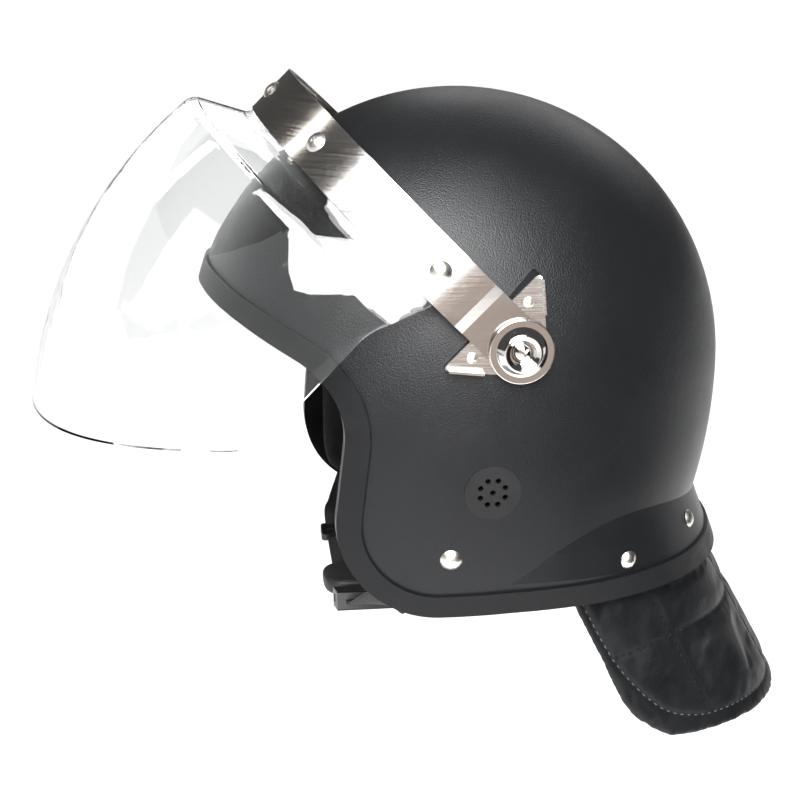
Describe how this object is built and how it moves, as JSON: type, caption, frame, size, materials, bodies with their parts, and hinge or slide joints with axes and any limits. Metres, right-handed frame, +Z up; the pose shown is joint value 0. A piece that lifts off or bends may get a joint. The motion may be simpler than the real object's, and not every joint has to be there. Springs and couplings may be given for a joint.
{
  "type": "police riot helmet",
  "caption": "Open-face riot helmet with a hinged clear visor on a steel band, foam and fleece lining, a quilted neck guard and a buckled chin strap.",
  "frame": {"origin": "centre of the dome, in the middle of the head cavity, on the plane of symmetry", "axes": "+Z up on an upright head, -Y is where the wearer looks, +X is the wearer's left"},
  "size_m": [0.27, 0.4158, 0.3464],
  "materials": {
    "shell": "black moulded plastic with a fine pebble grain, smoother towards the rim",
    "trim": "black extruded edge trim, satin",
    "grille": "black moulded plastic",
    "liner": "black expanded foam faced with thin knitted fabric",
    "comfort_pad": "black fleece over soft foam",
    "plate_steel": "pressed stainless plate, satin",
    "rivets": "plated dome rivets, soft shine",
    "pivot_chrome": "polished plated cap and screw",
    "zinc_steel": "zinc plated steel",
    "nylon": "natural nylon",
    "leatherette": "black quilted leatherette with sewn seams",
    "guard_lining": "black woven lining",
    "webbing": "black woven webbing",
    "buckle_plastic": "black acetal",
    "cup_rubber": "dark grey soft moulding",
    "band_steel": "polished stainless strip with fine lengthwise brushing",
    "visor_clear": "clear polycarbonate with a soft gloss"
  },
  "bodies": {
    "helmet": {"outer_shell": "shell", "edge_trim": "trim", "left_ear_grille": "grille", "right_ear_grille": "grille", "impact_liner": "liner", "crown_pad": "comfort_pad", "brow_pad": "comfort_pad", "left_cheek_pad": "comfort_pad", "right_cheek_pad": "comfort_pad", "nape_pad": "comfort_pad", "left_stop_plate": "plate_steel", "right_stop_plate": "plate_steel", "stop_plate_rivets": "rivets", "left_pivot_bolt": "pivot_chrome", "right_pivot_bolt": "pivot_chrome", "left_pivot_nut": "zinc_steel", "right_pivot_nut": "zinc_steel", "left_pivot_bush": "nylon", "right_pivot_bush": "nylon", "left_spring_washer": "zinc_steel", "right_spring_washer": "zinc_steel", "left_pivot_cap": "pivot_chrome", "right_pivot_cap": "pivot_chrome", "neck_guard": "leatherette", "neck_guard_lining": "guard_lining", "neck_guard_studs": "rivets", "strap_rivets": "rivets", "left_chin_strap": "webbing", "right_chin_strap": "webbing", "buckle_socket": "buckle_plastic", "strap_slider": "buckle_plastic", "chin_cup": "cup_rubber"},
    "visor": {"visor_band": "band_steel", "visor_shield": "visor_clear", "visor_rivets": "rivets", "visor_rivet_washers": "zinc_steel"},
    "buckle_clip": {"buckle_clip": "buckle_plastic"}
  },
  "joints": [
    {"name": "visor_hinge", "type": "hinge", "parent": "helmet", "child": "visor", "pos_m": [0, 0.0133, 0.0308], "axis": [-1, 0, 0], "range_deg": [-32.5, 32.5]},
    {"name": "buckle_slide", "type": "slide", "parent": "helmet", "child": "buckle_clip", "axis": [-0.9678, 0, -0.2516], "range_m": [0, 0.0145], "deforming": ["right_chin_strap"]}
  ]
}
